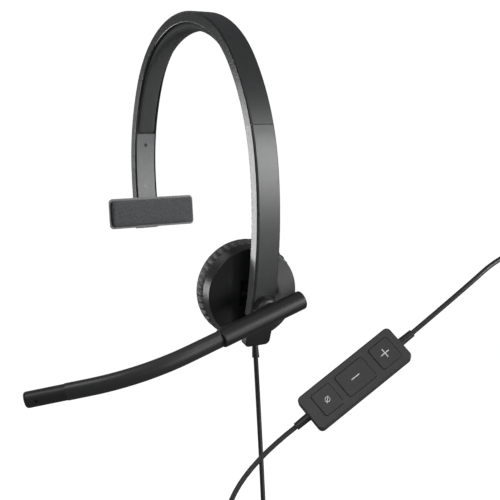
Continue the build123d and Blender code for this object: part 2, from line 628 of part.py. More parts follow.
with BuildPart() as speaker_cloth:
    disc(SPEAKER.offset(-4.0), CUSHION_HOLE - 0.2, -0.6)
save(speaker_cloth, "speaker_cloth")

with BuildPart() as ear_cushion:
    cushion_back = CUP_FACE.offset(-CUP_RIM_DEPTH)
    disc(cushion_back, CUSHION_RADIUS, -CUSHION_DEPTH)
    disc(cushion_back, CUSHION_HOLE, -CUSHION_DEPTH, Mode.SUBTRACT)
    cushion_faces = ear_cushion.faces().sort_by(Axis(CUP_FACE.origin, CUP_FACE.z_dir))
    fillet(cushion_faces[0].edges(), 5.0)
    fillet(cushion_faces[-1].edges().sort_by(SortBy.RADIUS)[-1], 2.0)
save(ear_cushion, "ear_cushion")

# ---------------------------------------------------------------- inline controller

with BuildPart() as controller_top_shell:
    block(CONTROLLER.offset(-CONTROL_SPLIT), CONTROL_LENGTH, CONTROL_WIDTH, CONTROL_SPLIT, corner=3.0)
    fillet(controller_top_shell.faces().sort_by(FRONTWARD)[-1].edges(), 1.0)
    inner = (CONTROL_LENGTH - 2 * CONTROL_WALL, CONTROL_WIDTH - 2 * CONTROL_WALL)
    block(CONTROLLER.offset(-CONTROL_SPLIT), *inner, CONTROL_SPLIT - CONTROL_WALL, Mode.SUBTRACT, corner=1.8)
    for place, length in KEY_PLACES.values():
        block(CONTROLLER.offset(-CONTROL_SPLIT), length + 2 * KEY_GAP, KEY_WIDTH + 2 * KEY_GAP,
              CONTROL_SPLIT + 1, Mode.SUBTRACT, at=(place, 0), corner=1.6)
    for place in CONTROL_SCREW_PLACES:
        disc(CONTROLLER.offset(-CONTROL_SPLIT), 1.5, CONTROL_SPLIT - 1, at=place)
        disc(CONTROLLER.offset(-CONTROL_SPLIT), 0.8, 3.0, Mode.SUBTRACT, at=place)
    disc(LEAD_AXIS, RELIEF_GRIP, CONTROL_LENGTH + 4, Mode.SUBTRACT)
save(controller_top_shell, "controller_top_shell")

with BuildPart() as controller_bottom_shell:
    depth = CONTROL_THICK - CONTROL_SPLIT
    block(CONTROLLER.offset(-CONTROL_THICK), CONTROL_LENGTH, CONTROL_WIDTH, depth, corner=3.0)
    fillet(controller_bottom_shell.faces().sort_by(FRONTWARD)[0].edges(), 2.4)
    block(CONTROLLER.offset(-CONTROL_THICK + CONTROL_WALL), *inner, depth, Mode.SUBTRACT, corner=1.8)
    for place in CONTROL_SCREW_PLACES:
        disc(CONTROLLER.offset(-CONTROL_THICK + 0.5), 1.9, depth - 0.5, at=place)
        disc(CONTROLLER.offset(-CONTROL_THICK), 1.4, 0.9, Mode.SUBTRACT, at=place)
        disc(CONTROLLER.offset(-CONTROL_THICK), 0.8, depth, Mode.SUBTRACT, at=place)
    for side in (-1, 1):
        lug_place = (CLIP_AXIS_X, side * CLIP_LUG)
        block(CONTROLLER.offset(-CONTROL_THICK), 3.0, 2.0, CONTROL_THICK - CLIP_AXIS_DEPTH, at=lug_place)
        disc(clip_bore(side * CLIP_LUG - 1), 1.5, 2.0)
    disc(clip_bore(-6), CLIP_PIN, 12, Mode.SUBTRACT)
    disc(LEAD_AXIS, RELIEF_GRIP, CONTROL_LENGTH + 4, Mode.SUBTRACT)
save(controller_bottom_shell, "controller_bottom_shell")

with BuildPart() as controller_screws:
    for place in CONTROL_SCREW_PLACES:
        head = -shifted(CONTROLLER, *place, -CONTROL_THICK)
        screw(head, 1.4, 0.9, 0.8, 7.6)
save(controller_screws, "controller_screws")

with BuildPart() as controller_board:
    block(CONTROLLER.offset(-6.0), 54.0, 17.0, 1.0)
    for place in CONTROL_SCREW_PLACES:
        disc(CONTROLLER.offset(-7.0), 2.1, 3.0, Mode.SUBTRACT, at=place)
save(controller_board, "controller_board")

with BuildPart() as audio_chip:
    block(CONTROLLER.offset(-6.0), 7.0, 7.0, -1.1, at=(8, 0))
save(audio_chip, "audio_chip")

with BuildPart() as key_switches:
    for place, length in KEY_PLACES.values():
        block(CONTROLLER.offset(-5.0), 5.0, 5.0, 0.9, at=(place, 0))
        disc(CONTROLLER.offset(-4.1), 1.4, 0.5, at=(place, 0))
save(key_switches, "key_switches")

for name, (place, length) in KEY_PLACES.items():
    with BuildPart() as key:
        block(CONTROLLER.offset(-1.8), length, KEY_WIDTH, 1.8 + KEY_PROUD, at=(place, 0), corner=1.4)
        fillet(key.faces().sort_by(FRONTWARD)[-1].edges(), 0.35)
        block(CONTROLLER.offset(-2.2), length + 1.0, KEY_WIDTH + 1.0, 0.7, at=(place, 0), corner=1.4)
        disc(CONTROLLER.offset(-3.12), 1.6, 1.1, at=(place, 0))
    save(key, name)

for name, side in (("controller_relief_headset", -1), ("controller_relief_plug", 1)):
    with BuildPart() as relief:
        end = Plane(origin=CONTROLLER.from_local_coords((side * CONTROL_LENGTH / 2, 0, LEAD_Z)),
                    z_dir=CONTROLLER.x_dir * side)
        disc(end.offset(-CONTROL_WALL - 0.6), RELIEF_GRIP, CONTROL_WALL + 0.6)
        disc(end.offset(-CONTROL_WALL - 1.6), RELIEF_GRIP + 0.7, 1.4)
        with BuildSketch(end):
            Circle(RELIEF_RADII[0])
        with BuildSketch(end.offset(RELIEF_LENGTH)):
            Circle(RELIEF_RADII[1])
        loft()
    save(relief, name)

# ---------------------------------------------------------------- clothing clip

with BuildPart() as clip_arm:
    block(CONTROLLER.offset(-CLIP_AXIS_DEPTH - 2.4), 36.0, 7.0, 1.5, at=(CLIP_AXIS_X - 9, 0), corner=2.0)
    block(CONTROLLER.offset(-CLIP_AXIS_DEPTH - 1.0), 2.4, 6.8, 1.0, at=(CLIP_AXIS_X, 0))
    disc(clip_bore(-3.4), 1.3, 6.8)
    block(CONTROLLER.offset(-CLIP_AXIS_DEPTH - 1.0), 1.6, 7.0, 2.6, at=(CLIP_AXIS_X - 24, 0))
    disc(clip_bore(-3.4), CLIP_PIN + 0.05, 6.8, Mode.SUBTRACT)
    block(CONTROLLER.offset(-CLIP_AXIS_DEPTH - 0.6), 5.0, 3.0, 4.0, Mode.SUBTRACT, at=(CLIP_AXIS_X, 0))
save(clip_arm, "clip_arm")

with BuildPart() as clip_pin:
    disc(clip_bore(-5.6), CLIP_PIN, 11.2)
save(clip_pin, "clip_pin")

# ---------------------------------------------------------------- cords

lead_in = CONTROLLER.from_local_coords((-CONTROL_LENGTH / 2 - RELIEF_LENGTH, 0, LEAD_Z))
lead_out = CONTROLLER.from_local_coords((CONTROL_LENGTH / 2 + RELIEF_LENGTH, 0, LEAD_Z))

cord_to_controller = cord_tube([
    POD_EXIT.offset(POD_RELIEF_LENGTH).origin,
    (58.5, 0, -240), (59.3, -0.6, -285), (60.2, -1.8, -335), (60.9, -2.9, -385),
    (76.5, -28.5, -402.5), (92.1, -54.1, -385), (93, -55.5, -340), (92.6, -54.3, -312),
    (93.9, -42.2, -267.7), lead_in])
save(cord_to_controller, "cord_to_controller")

cord_to_plug = cord_tube([
    lead_out, (145.5, 95, -171.5), (148.5, 121, -155.5), (150, 149, -150), (150, 170, -170),
    (150.3, 170.5, -198), COIL_START + Vector(0, 0, COIL_ENTRY)])
save(cord_to_plug, "cord_to_plug")

with BuildPart() as cord_coil:
    coil_end = Plane(origin=COIL_START + Vector(CORD_RADIUS, COIL_RADIUS, 0), z_dir=(-1, 0, 0))
    coil_width = COIL_TURNS * COIL_PITCH + 2 * CORD_RADIUS
    disc(coil_end, COIL_RADIUS + CORD_RADIUS, coil_width)
    disc(coil_end, COIL_RADIUS - CORD_RADIUS, coil_width, Mode.SUBTRACT)
save(cord_coil, "cord_coil")

with BuildPart() as cord_tie:
    tie_base = Plane(origin=coil_end.origin + Vector(-coil_width / 2, 0, COIL_RADIUS - 3.0), z_dir=(0, 0, 1))
    block(tie_base, coil_width + 2.4, 8.0, 5.8)
    block(tie_base.offset(0.8), coil_width + 0.2, 8.0, 4.1, Mode.SUBTRACT)
save(cord_tie, "cord_tie")

tail_start = COIL_START - Vector(COIL_TURNS * COIL_PITCH, 0, COIL_ENTRY)
with BuildPart() as cord_tail:
    disc(Plane(origin=tail_start, z_dir=(0, 0, -1)), CORD_RADIUS, TAIL_LENGTH - COIL_ENTRY)
save(cord_tail, "cord_tail")

# ---------------------------------------------------------------- USB plug

PLUG = Plane(origin=tail_start - Vector(0, 0, TAIL_LENGTH - COIL_ENTRY), x_dir=(1, 0, 0), z_dir=(0, 0, -1))

with BuildPart() as plug_strain_relief:
    with BuildSketch(PLUG):
        Circle(2.0)
    with BuildSketch(PLUG.offset(10)):
        Circle(3.0)
    loft()
save(plug_strain_relief, "plug_strain_relief")

with BuildPart() as plug_body:
    block(PLUG.offset(10), PLUG_WIDTH, PLUG_THICK, 22, corner=2.0)
    fillet(plug_body.faces().sort_by(Axis.Z)[-1].edges(), 1.6)
    block(PLUG.offset(24), 12.0, 4.5, 8, Mode.SUBTRACT)
save(plug_body, "plug_body")

with BuildPart() as plug_shell:
    block(PLUG.offset(24), 12.0, 4.5, 20)
    block(PLUG.offset(25), 11.4, 3.9, 19, Mode.SUBTRACT)
    for side in (-1, 1):
        block(PLUG.offset(37), 2.2, 6.0, 2.2, Mode.SUBTRACT, at=(side * 2.6, 0))
save(plug_shell, "plug_shell")

with BuildPart() as plug_tongue:
    block(PLUG.offset(25), 11.4, 3.9, 6)
    block(PLUG.offset(31), 11.0, 1.8, 12, at=(0, -1.0))
save(plug_tongue, "plug_tongue")

with BuildPart() as plug_contacts:
    for place in (-3.5, -1.0, 1.0, 3.5):
        block(PLUG.offset(33), 1.0, 0.2, 8.6, at=(place, 0.0))
save(plug_contacts, "plug_contacts")
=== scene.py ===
"""Office headset: camera, cords, surfaces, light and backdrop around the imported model."""

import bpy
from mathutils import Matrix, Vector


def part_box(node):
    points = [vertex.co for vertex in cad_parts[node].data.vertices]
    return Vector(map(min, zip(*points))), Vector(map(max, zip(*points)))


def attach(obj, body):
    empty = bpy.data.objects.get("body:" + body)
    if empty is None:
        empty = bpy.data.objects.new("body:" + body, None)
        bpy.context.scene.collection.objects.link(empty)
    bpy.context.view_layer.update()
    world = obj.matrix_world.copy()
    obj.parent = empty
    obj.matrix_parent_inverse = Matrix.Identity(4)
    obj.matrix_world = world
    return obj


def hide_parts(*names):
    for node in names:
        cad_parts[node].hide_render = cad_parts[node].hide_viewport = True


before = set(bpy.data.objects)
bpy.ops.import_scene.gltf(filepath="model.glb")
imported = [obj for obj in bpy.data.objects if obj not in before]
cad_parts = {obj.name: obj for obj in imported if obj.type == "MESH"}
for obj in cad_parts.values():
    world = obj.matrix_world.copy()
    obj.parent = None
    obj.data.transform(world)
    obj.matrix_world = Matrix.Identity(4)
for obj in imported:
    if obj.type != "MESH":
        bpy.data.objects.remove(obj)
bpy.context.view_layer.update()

from math import atan2, cos, pi, radians, sin

import bmesh
import bpy
from mathutils import Matrix, Quaternion, Vector

# Headband's outline: crown, shoulder and side arcs, tangent, with the turns where they meet
CROWN_TOP, CROWN_RADIUS, SHOULDER_RADIUS, SIDE_RADIUS = 0.0131, 0.0735, 0.141, 0.250
CROWN_TURN, SHOULDER_TURN = 59.6, 87.3

# ---------------------------------------------------------------- camera

AZIMUTH, ELEVATION, ROLL = radians(56.77), radians(3.59), radians(-3.07)
CAMERA_DISTANCE, CAMERA_LENS = 0.5922, 68.78
LOOK_AT = Vector((0.05845, 0.0, -0.1426))

camera_back = Vector((sin(AZIMUTH) * cos(ELEVATION), -cos(AZIMUTH) * cos(ELEVATION), sin(ELEVATION)))
camera = bpy.data.objects.new("camera", bpy.data.cameras.new("camera"))
bpy.context.scene.collection.objects.link(camera)
camera.data.lens = CAMERA_LENS
camera.data.sensor_width = 36.0
camera.data.clip_start = 0.01
camera.location = LOOK_AT + camera_back * CAMERA_DISTANCE
camera.rotation_mode = "QUATERNION"
camera.rotation_quaternion = camera_back.to_track_quat("Z", "Y") @ Quaternion((0, 0, 1), ROLL)
bpy.context.scene.camera = camera
bpy.context.scene.view_settings.view_transform = "Standard"


# ---------------------------------------------------------------- material helpers

def new_material(name, colour, roughness, **sockets):
    """A Principled material with its even values on the shader's own sockets."""
    material = bpy.data.materials.new(name)
    material.use_nodes = True
    shader = material.node_tree.nodes["Principled BSDF"]
    shader.inputs["Base Color"].default_value = (*colour, 1.0)
    shader.inputs["Roughness"].default_value = roughness
    for socket, value in sockets.items():
        shader.inputs[socket.replace("_", " ")].default_value = value
    return material


def add_node(material, kind, inputs=None, **settings):
    """A node of this kind, with its settings and its unlinked or linked inputs."""
    node = material.node_tree.nodes.new(kind)
    for name, value in settings.items():
        setattr(node, name, value)
    for name, value in (inputs or {}).items():
        if isinstance(value, bpy.types.NodeSocket):
            material.node_tree.links.new(value, node.inputs[name])
        else:
            node.inputs[name].default_value = value
    return node


def shader_of(material):
    return material.node_tree.nodes["Principled BSDF"]


def place(material, stretch=(1, 1, 1)):
    """Coordinates in metres that stay on the piece, stretched by these factors."""
    where = add_node(material, "ShaderNodeTexCoord")
    mapping = add_node(material, "ShaderNodeMapping", {"Vector": where.outputs["Object"], "Scale": stretch})
    return mapping.outputs["Vector"]


def noise(material, vector, scale, detail=3.0):
    node = add_node(material, "ShaderNodeTexNoise",
                    {"Vector": vector, "Scale": scale, "Detail": detail, "Roughness": 0.55})
    return node.outputs["Fac"]


def blend_colours(material, factor, low, high, start=0.3, end=0.7):
    """Colour from low to high as the factor goes from start to end, put on the base colour."""
    ramp = add_node(material, "ShaderNodeValToRGB", {"Fac": factor})
    ramp.color_ramp.elements[0].position = start
    ramp.color_ramp.elements[1].position = end
    ramp.color_ramp.elements[0].color = (*low, 1.0)
    ramp.color_ramp.elements[1].color = (*high, 1.0)
    material.node_tree.links.new(ramp.outputs["Color"], shader_of(material).inputs["Base Color"])


def vary_roughness(material, factor, low, high):
    span = add_node(material, "ShaderNodeMapRange", {"Value": factor, "To Min": low, "To Max": high})
    material.node_tree.links.new(span.outputs["Result"], shader_of(material).inputs["Roughness"])


def bump(material, height, distance, under=None):
    """Relief of this height in metres, on top of another bump's normal where one is given."""
    inputs = {"Height": height, "Distance": distance, "Strength": 1.0}
    if under is not None:
        inputs["Normal"] = under
    node = add_node(material, "ShaderNodeBump", inputs)
    material.node_tree.links.new(node.outputs["Normal"], shader_of(material).inputs["Normal"])
    return node.outputs["Normal"]


def moulded(name, colour, roughness, grain=0.000008, grain_size=9000.0, spread=0.08, **sockets):
    """Moulded plastic or rubber: fine spark-eroded grain, faint mottling and slightly uneven gloss."""
    material = new_material(name, colour, roughness, **sockets)
    vector = place(material)
    mottling = noise(material, vector, 220.0)
    low = [c * (1 - spread) for c in colour]
    high = [c * (1 + spread) for c in colour]
    blend_colours(material, mottling, low, high)
    vary_roughness(material, noise(material, vector, 900.0), roughness * 0.86, min(roughness * 1.14, 1.0))
    bump(material, noise(material, vector, grain_size, 2.0), grain)
    return material


def brushed(name, colour, roughness, along=(1, 1, 1)):
    """Metal with fine scratches that run across the stretched axes."""
    material = new_material(name, colour, roughness, Metallic=1.0)
    vector = place(material, along)
    scratches = noise(material, vector, 4000.0, 4.0)
    blend_colours(material, scratches, [c * 0.8 for c in colour], colour)
    vary_roughness(material, scratches, roughness * 0.7, min(roughness * 1.4, 1.0))
    bump(material, scratches, 0.000004)
    return material


def band_place(material):
    """Coordinates in metres along the band, across it and through it, for cloth that follows the crown."""
    where = add_node(material, "ShaderNodeSeparateXYZ", {"Vector": place(material)})
    height = add_node(material, "ShaderNodeMath", {0: where.outputs["Z"], 1: CROWN_TOP - CROWN_RADIUS},
                      operation="SUBTRACT")
    swing = add_node(material, "ShaderNodeMath", {0: where.outputs["X"], 1: height.outputs[0]},
                     operation="ARCTAN2")
    along = add_node(material, "ShaderNodeMath", {0: swing.outputs[0], 1: CROWN_RADIUS}, operation="MULTIPLY")
    joined = add_node(material, "ShaderNodeCombineXYZ", {"X": along.outputs[0], "Y": where.outputs["Y"]})
    return joined.outputs["Vector"]


def woven(name, colour, pitch, along, across, wrapped=False):
    """Plain-weave cloth: two crossed rows of threads in the named axes, with fibre fuzz."""
    material = new_material(name, colour, 0.9, Sheen_Weight=0.12, Sheen_Roughness=0.5)
    vector = band_place(material) if wrapped else place(material)
    fibres = noise(material, vector, 1100.0)
    wave = {"Vector": vector, "Scale": 0.314 / pitch, "Distortion": 0.6, "Detail": 1.0, "Detail Scale": 3.0}
    threads = [add_node(material, "ShaderNodeTexWave", wave, bands_direction=axis).outputs["Fac"]
               for axis in (along, across)]
    crossed = add_node(material, "ShaderNodeMath", {0: threads[0], 1: threads[1]}, operation="MULTIPLY")
    fuzz = add_node(material, "ShaderNodeMath", {0: fibres, 1: 1.2, 2: crossed.outputs[0]},
                    operation="MULTIPLY_ADD")
    blend_colours(material, fuzz.outputs[0], [c * 0.35 for c in colour], [c * 1.6 for c in colour], 0.45, 1.2)
    bump(material, fuzz.outputs[0], pitch * 0.35)
    return material


def leatherette(name, colour, roughness):
    """Thin coated skin: small pebbles and soft crease relief, with painted shade in its dips and painted
    light on its rises.
    """
    material = new_material(name, colour, roughness, Coat_Weight=0.08, Coat_Roughness=0.35)
    vector = place(material)
    pebbles = add_node(material, "ShaderNodeTexVoronoi", {"Vector": vector, "Scale": 1900.0},
                       feature="SMOOTH_F1").outputs["Distance"]
    crease_relief_and_shade = noise(material, vector, 420.0, 5.0)
    # Colour follows the crease relief: painted shade in its dips and painted light on its rises
    blend_colours(material, crease_relief_and_shade, [c * 0.7 for c in colour], [c * 1.35 for c in colour])
    vary_roughness(material, pebbles, roughness * 0.85, min(roughness * 1.2, 1.0))
    first = bump(material, crease_relief_and_shade, 0.00006)
    bump(material, pebbles, 0.00004, under=first)
    return material


def domed(material, centre, radius):
    """Shades a moulded piece as though its face bulged, by a sphere of this radius round its middle."""
    away = add_node(material, "ShaderNodeVectorMath", {0: place(material), 1: centre}, operation="DISTANCE")
    squared = add_node(material, "ShaderNodeMath", {0: away.outputs["Value"], 1: 2.0}, operation="POWER")
    height = add_node(material, "ShaderNodeMath", {0: squared.outputs[0], 1: -0.5 / radius},
                      operation="MULTIPLY")
    grain = shader_of(material).inputs["Normal"].links[0].from_socket
    bump(material, height.outputs[0], 1.0, under=grain)


# ---------------------------------------------------------------- materials

CUP_MIDDLE, CUP_FACE_RADIUS = (0.0588, 0.0002, -0.1698), 0.35

SOFT_TOUCH = moulded("soft_touch", (0.020, 0.021, 0.021), 0.42, Coat_Weight=0.10, Coat_Roughness=0.3)
SIDE_GREY = moulded("side_grey", (0.028, 0.029, 0.029), 0.23)
# The arm's frame is the same dark plastic as side_grey; this lighter copy is painted light, standing in for
# the lamps' light on the arm's side face
ARM_PAINTED_LIT_GREY = moulded("arm_painted_lit_grey", (0.13, 0.132, 0.134), 0.23)
PLATE_GREY = moulded("plate_grey", (0.12, 0.122, 0.124), 0.45, grain=0.00002)
BLACK_PLASTIC = moulded("black_plastic", (0.013, 0.013, 0.0135), 0.46)
TRAY_GREY = moulded("tray_grey", (0.055, 0.056, 0.057), 0.42)
CONTROL_PLASTIC = moulded("control_plastic", (0.034, 0.034, 0.035), 0.52, grain=0.00002)
GLOSS_BLACK = moulded("gloss_black", (0.008, 0.008, 0.0085), 0.30, grain=0.000004)
domed(GLOSS_BLACK, CUP_MIDDLE, CUP_FACE_RADIUS)
BOOM_RUBBER = moulded("boom_rubber", (0.024, 0.024, 0.025), 0.38)
CORD_RUBBER = moulded("cord_rubber", (0.018, 0.018, 0.019), 0.45, grain=0.000006, grain_size=5000.0)
KEY_RUBBER = moulded("key_rubber", (0.030, 0.030, 0.031), 0.50, grain=0.00002)
MARK_PAINT = moulded("mark_paint", (0.80, 0.80, 0.80), 0.45, grain=0.000003, spread=0.03)
PAD_CLOTH = woven("pad_cloth", (0.075, 0.077, 0.079), 0.00075, "Y", "Z")
CROWN_CLOTH = woven("crown_cloth", (0.050, 0.051, 0.052), 0.00075, "X", "Y", wrapped=True)
SPEAKER_CLOTH = woven("speaker_cloth", (0.02, 0.02, 0.02), 0.0006, "Y", "Z")
# The cushion skin carries painted shade in its crease dips and painted light on their rises
CUSHION_SKIN = leatherette("cushion_skin", (0.050, 0.050, 0.051), 0.50)
SPRING_STEEL = brushed("spring_steel", (0.55, 0.55, 0.56), 0.32, (1, 8, 1))
SCREW_STEEL = brushed("screw_steel", (0.05, 0.05, 0.052), 0.30)
BRIGHT_STEEL = brushed("bright_steel", (0.68, 0.68, 0.69), 0.18, (1, 1, 6))
CONTACT_GOLD = brushed("contact_gold", (0.85, 0.62, 0.25), 0.2)
CIRCUIT_BOARD = moulded("circuit_board", (0.02, 0.12, 0.05), 0.3)
DIAPHRAGM_FILM = moulded("diaphragm_film", (0.50, 0.46, 0.36), 0.3)
USB_WHITE = moulded("usb_white", (0.75, 0.75, 0.75), 0.35)
WASHER_POLYMER = moulded("washer_polymer", (0.60, 0.60, 0.56), 0.5)


# ---------------------------------------------------------------- geometry helpers

SHARP_ANGLE = radians(50)


def centre_after(centre, radius, next_radius, turn):
    """Centre of the arc that carries on, tangent, where the band has turned this far."""
    step = radius - next_radius
    return (centre[0] + step * sin(radians(turn)), centre[1] + step * cos(radians(turn)))


CROWN_CENTRE = (0.0, CROWN_TOP - CROWN_RADIUS)
SHOULDER_CENTRE = centre_after(CROWN_CENTRE, CROWN_RADIUS, SHOULDER_RADIUS, CROWN_TURN)
SIDE_CENTRE = centre_after(SHOULDER_CENTRE, SHOULDER_RADIUS, SIDE_RADIUS, SHOULDER_TURN)


def on_band(turn, across=0.0, depth=0.0):
    """Point of the band at this turn from straight up, across its width and under its outer face."""
    side, swing = (1 if turn >= 0 else -1), abs(turn)
    centre, radius = CROWN_CENTRE, CROWN_RADIUS
    if swing > CROWN_TURN:
        centre, radius = SHOULDER_CENTRE, SHOULDER_RADIUS
    if swing > SHOULDER_TURN:
        centre, radius = SIDE_CENTRE, SIDE_RADIUS
    reach = radius - depth
    return Vector((side * (centre[0] + reach * sin(radians(swing))), across,
                   centre[1] + reach * cos(radians(swing))))


def arc_radius(swing):
    """Radius of the band's arc at this turn from straight up, whichever its side."""
    if swing < CROWN_TURN:
        return CROWN_RADIUS
    return SHOULDER_RADIUS if swing < SHOULDER_TURN else SIDE_RADIUS


def band_turns(turn_from, turn_to, step):
    """Turns along the band, about this far apart in metres."""
    turns = [turn_from]
    while turns[-1] < turn_to:
        turns.append(turns[-1] + step / arc_radius(abs(turns[-1])) * 180 / pi)
    turns[-1] = turn_to
    return turns


def rounded(corners, steps=5):
    """A closed outline through corners (x, y, radius), each turned into an arc of its radius."""
    points = []
    for index, (x, y, radius) in enumerate(corners):
        here = Vector((x, y))
        before = (Vector(corners[index - 1][:2]) - here).normalized()
        after = (Vector(corners[(index + 1) % len(corners)][:2]) - here).normalized()
        if radius == 0:
            points.append(here)
            continue
        half = before.angle(after) / 2
        reach = radius / max(abs(sin(half)), 1e-6)
        middle = here + (before + after).normalized() * reach
        start = here + before * (radius * cos(half) / sin(half)) - middle
        end = here + after * (radius * cos(half) / sin(half)) - middle
        for step in range(steps + 1):
            mixed = start.lerp(end, step / steps)
            points.append(middle + mixed.normalized() * radius)
    return points


def make_object(name, points, faces, material, body, slot, replaces=()):
    """A smooth mesh piece that rides on its body, with only its sharp edges left sharp."""
    mesh = bpy.data.meshes.new(name)
    mesh.from_pydata([tuple(point) for point in points], [], faces)
    mesh.update()
    piece = bpy.data.objects.new(name, mesh)
    bpy.context.scene.collection.objects.link(piece)
    shell = bmesh.new()
    shell.from_mesh(mesh)
    bmesh.ops.recalc_face_normals(shell, faces=shell.faces)
    shell.to_mesh(mesh)
    shell.free()
    for polygon in mesh.polygons:
        polygon.use_smooth = True
    mesh.materials.append(material)
    mesh.set_sharp_from_angle(angle=SHARP_ANGLE)
    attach(piece, body)
    if replaces:
        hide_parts(*replaces)
    return piece


def loft(rings, closed_ends=True, loop=False):
    """Points and faces of a skin over rings of equal count; one that loops has no ends to close."""
    count = len(rings[0])
    points = [point for ring in rings for point in ring]
    faces = []
    last = len(rings) if loop else len(rings) - 1
    for row in range(last):
        first, second = row * count, (row + 1) % len(rings) * count
        for column in range(count):
            following = (column + 1) % count
            faces.append((first + column, first + following, second + following, second + column))
    if closed_ends and not loop:
        faces.append(tuple(range(count))[::-1])
        faces.append(tuple(range((len(rings) - 1) * count, len(rings) * count)))
    return points, faces


def revolve(profile, steps):
    """Rings of a shape turned round the upright axis, from its profile of (radius, height)."""
    turns = [2 * pi * step / steps for step in range(steps)]
    return [[(radius * cos(turn), radius * sin(turn), height) for turn in turns]
            for radius, height in profile]


def frame_at(origin, x_dir, z_dir):
    """Matrix of a local frame from its origin and two of its axes."""
    z_axis = Vector(z_dir).normalized()
    x_axis = Vector(x_dir).normalized()
    y_axis = z_axis.cross(x_axis)
    matrix = Matrix((x_axis, y_axis, z_axis)).transposed().to_4x4()
    matrix.translation = Vector(origin)
    return matrix


# ---------------------------------------------------------------- cords

CORD_DIAMETER = 0.003
COIL_CENTRE = Vector((0.150, 0.188, -0.225))
COIL_RADIUS = 0.0182
COIL_TURNS = 10
COIL_PITCH = 0.00305
COIL_WANDER = 0.00025
POINTS_PER_TURN = 16

HEADSET_ROUTE = [
    (0.05838, 0, -0.20976), (0.0585, 0, -0.240), (0.0593, -0.0006, -0.285), (0.0602, -0.0018, -0.335),
    (0.0609, -0.0029, -0.385), (0.0765, -0.0285, -0.4025), (0.0921, -0.0541, -0.385),
    (0.093, -0.0555, -0.340), (0.0926, -0.0543, -0.312), (0.0939, -0.0422, -0.2677),
    (0.10418, -0.00446, -0.24480)]
PLUG_ROUTE = [
    (0.13091, 0.06489, -0.19585), (0.1455, 0.095, -0.1715), (0.1485, 0.121, -0.1555), (0.150, 0.149, -0.150),
    (0.150, 0.170, -0.170), (0.1503, 0.1705, -0.198), (0.150, 0.170, -0.216)]
COIL_END, TAIL_END = (0.1195, 0.170, -0.235), (0.1195, 0.170, -0.280)


def coil_points():
    """The coil's turns side by side, not quite even, from its first point to where the tail leaves."""
    points = []
    for index in range(COIL_TURNS * POINTS_PER_TURN + 1):
        turn = 2 * pi * index / POINTS_PER_TURN
        reach = COIL_RADIUS + COIL_WANDER * sin(2.3 * turn / pi)
        along = -COIL_PITCH * turn / (2 * pi)
        points.append(COIL_CENTRE + Vector((along, -reach * cos(turn), -reach * sin(turn))))
    return points


def cord(name, points, replaces):
    """A cord on one open NURBS spline through the route's control points."""
    curve = bpy.data.curves.new(name, "CURVE")
    curve.dimensions = "3D"
    curve.bevel_depth = CORD_DIAMETER / 2
    curve.bevel_resolution = 5
    curve.use_fill_caps = True
    spline = curve.splines.new("NURBS")
    spline.points.add(len(points) - 1)
    for control, point in zip(spline.points, points):
        control.co = (*point, 1.0)
    spline.order_u = 3
    spline.use_endpoint_u = True
    spline.resolution_u = 10
    curve.materials.append(CORD_RUBBER)
    piece = bpy.data.objects.new(name, curve)
    bpy.context.scene.collection.objects.link(piece)
    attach(piece, "arm")
    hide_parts(*replaces)
    return piece


headset_cord = cord("headset_cord", HEADSET_ROUTE, ["cord_to_controller"])
usb_cord = cord("usb_cord", [*PLUG_ROUTE, *coil_points(), COIL_END, TAIL_END],
                ["cord_to_plug", "cord_coil", "cord_tail"])


# ---------------------------------------------------------------- soft pieces

def apply_modifiers(piece):
    """Bakes the piece's modifiers into its mesh."""
    baked = bpy.data.meshes.new_from_object(piece.evaluated_get(bpy.context.evaluated_depsgraph_get()))
    old, piece.data = piece.data, baked
    piece.modifiers.clear()
    bpy.data.meshes.remove(old)


def puffed(piece, voxel, pressure, cap, held, smoothing):
    """Swells a padded piece by cloth simulation; held points stay and no point moves further than the cap."""
    remesh = piece.modifiers.new("voxels", "REMESH")
    remesh.mode = "VOXEL"
    remesh.voxel_size = voxel
    apply_modifiers(piece)
    start = [vertex.co.copy() for vertex in piece.data.vertices]
    pinned = piece.vertex_groups.new(name="pinned")
    pinned.add([index for index, point in enumerate(start) if held(point)], 1.0, "REPLACE")
    cloth = piece.modifiers.new("cloth", "CLOTH")
    cloth.settings.quality = 5
    cloth.settings.mass = 0.15
    cloth.settings.use_pressure = True
    cloth.settings.uniform_pressure_force = pressure
    cloth.settings.effector_weights.gravity = 0.0
    cloth.settings.vertex_group_mass = pinned.name
    for moment in range(1, 21):
        bpy.context.scene.frame_set(moment)
    swollen = bpy.data.meshes.new_from_object(piece.evaluated_get(bpy.context.evaluated_depsgraph_get()))
    piece.modifiers.remove(cloth)
    for vertex, place_before, moved in zip(piece.data.vertices, start, swollen.vertices):
        step = moved.co - place_before
        vertex.co = place_before + step * min(1.0, cap / max(step.length, 1e-9))
    bpy.data.meshes.remove(swollen)
    bpy.context.scene.frame_set(1)
    relax = piece.modifiers.new("relax", "SMOOTH")
    relax.factor = 0.5
    relax.iterations = smoothing
    apply_modifiers(piece)


def finish_pad(piece):
    subdivision = piece.modifiers.new("subdivision", "SUBSURF")
    subdivision.levels = subdivision.render_levels = 1
    for polygon in piece.data.polygons:
        polygon.use_smooth = True


# Head pad: a crowned strip under the band, thickest at the crown
PAD_TURN, PAD_HALF_WIDTH, PAD_SEAT = 75.2, 0.0067, 0.0062
PAD_END_DEPTH, PAD_CROWN_SWELL = 0.0086, 0.0041
PAD_SEAT_GAP, PAD_END_MARGIN = 0.0002, 0.2


def pad_section(turn):
    """Outline (across, depth) of the head pad at this turn: flat on its seat, with a crowned face."""
    bottom = PAD_END_DEPTH + PAD_CROWN_SWELL * cos(pi / 2 * turn / PAD_TURN) ** 1.7
    face = []
    for step in range(29):
        swing = pi * step / 28
        side = 1 if step < 14 else -1
        face.append((side * PAD_HALF_WIDTH * abs(cos(swing)) ** 0.45,
                     PAD_SEAT + PAD_SEAT_GAP + (bottom - PAD_SEAT - PAD_SEAT_GAP) * sin(swing) ** 0.5))
    return [(PAD_HALF_WIDTH, PAD_SEAT), *face, (-PAD_HALF_WIDTH, PAD_SEAT)]


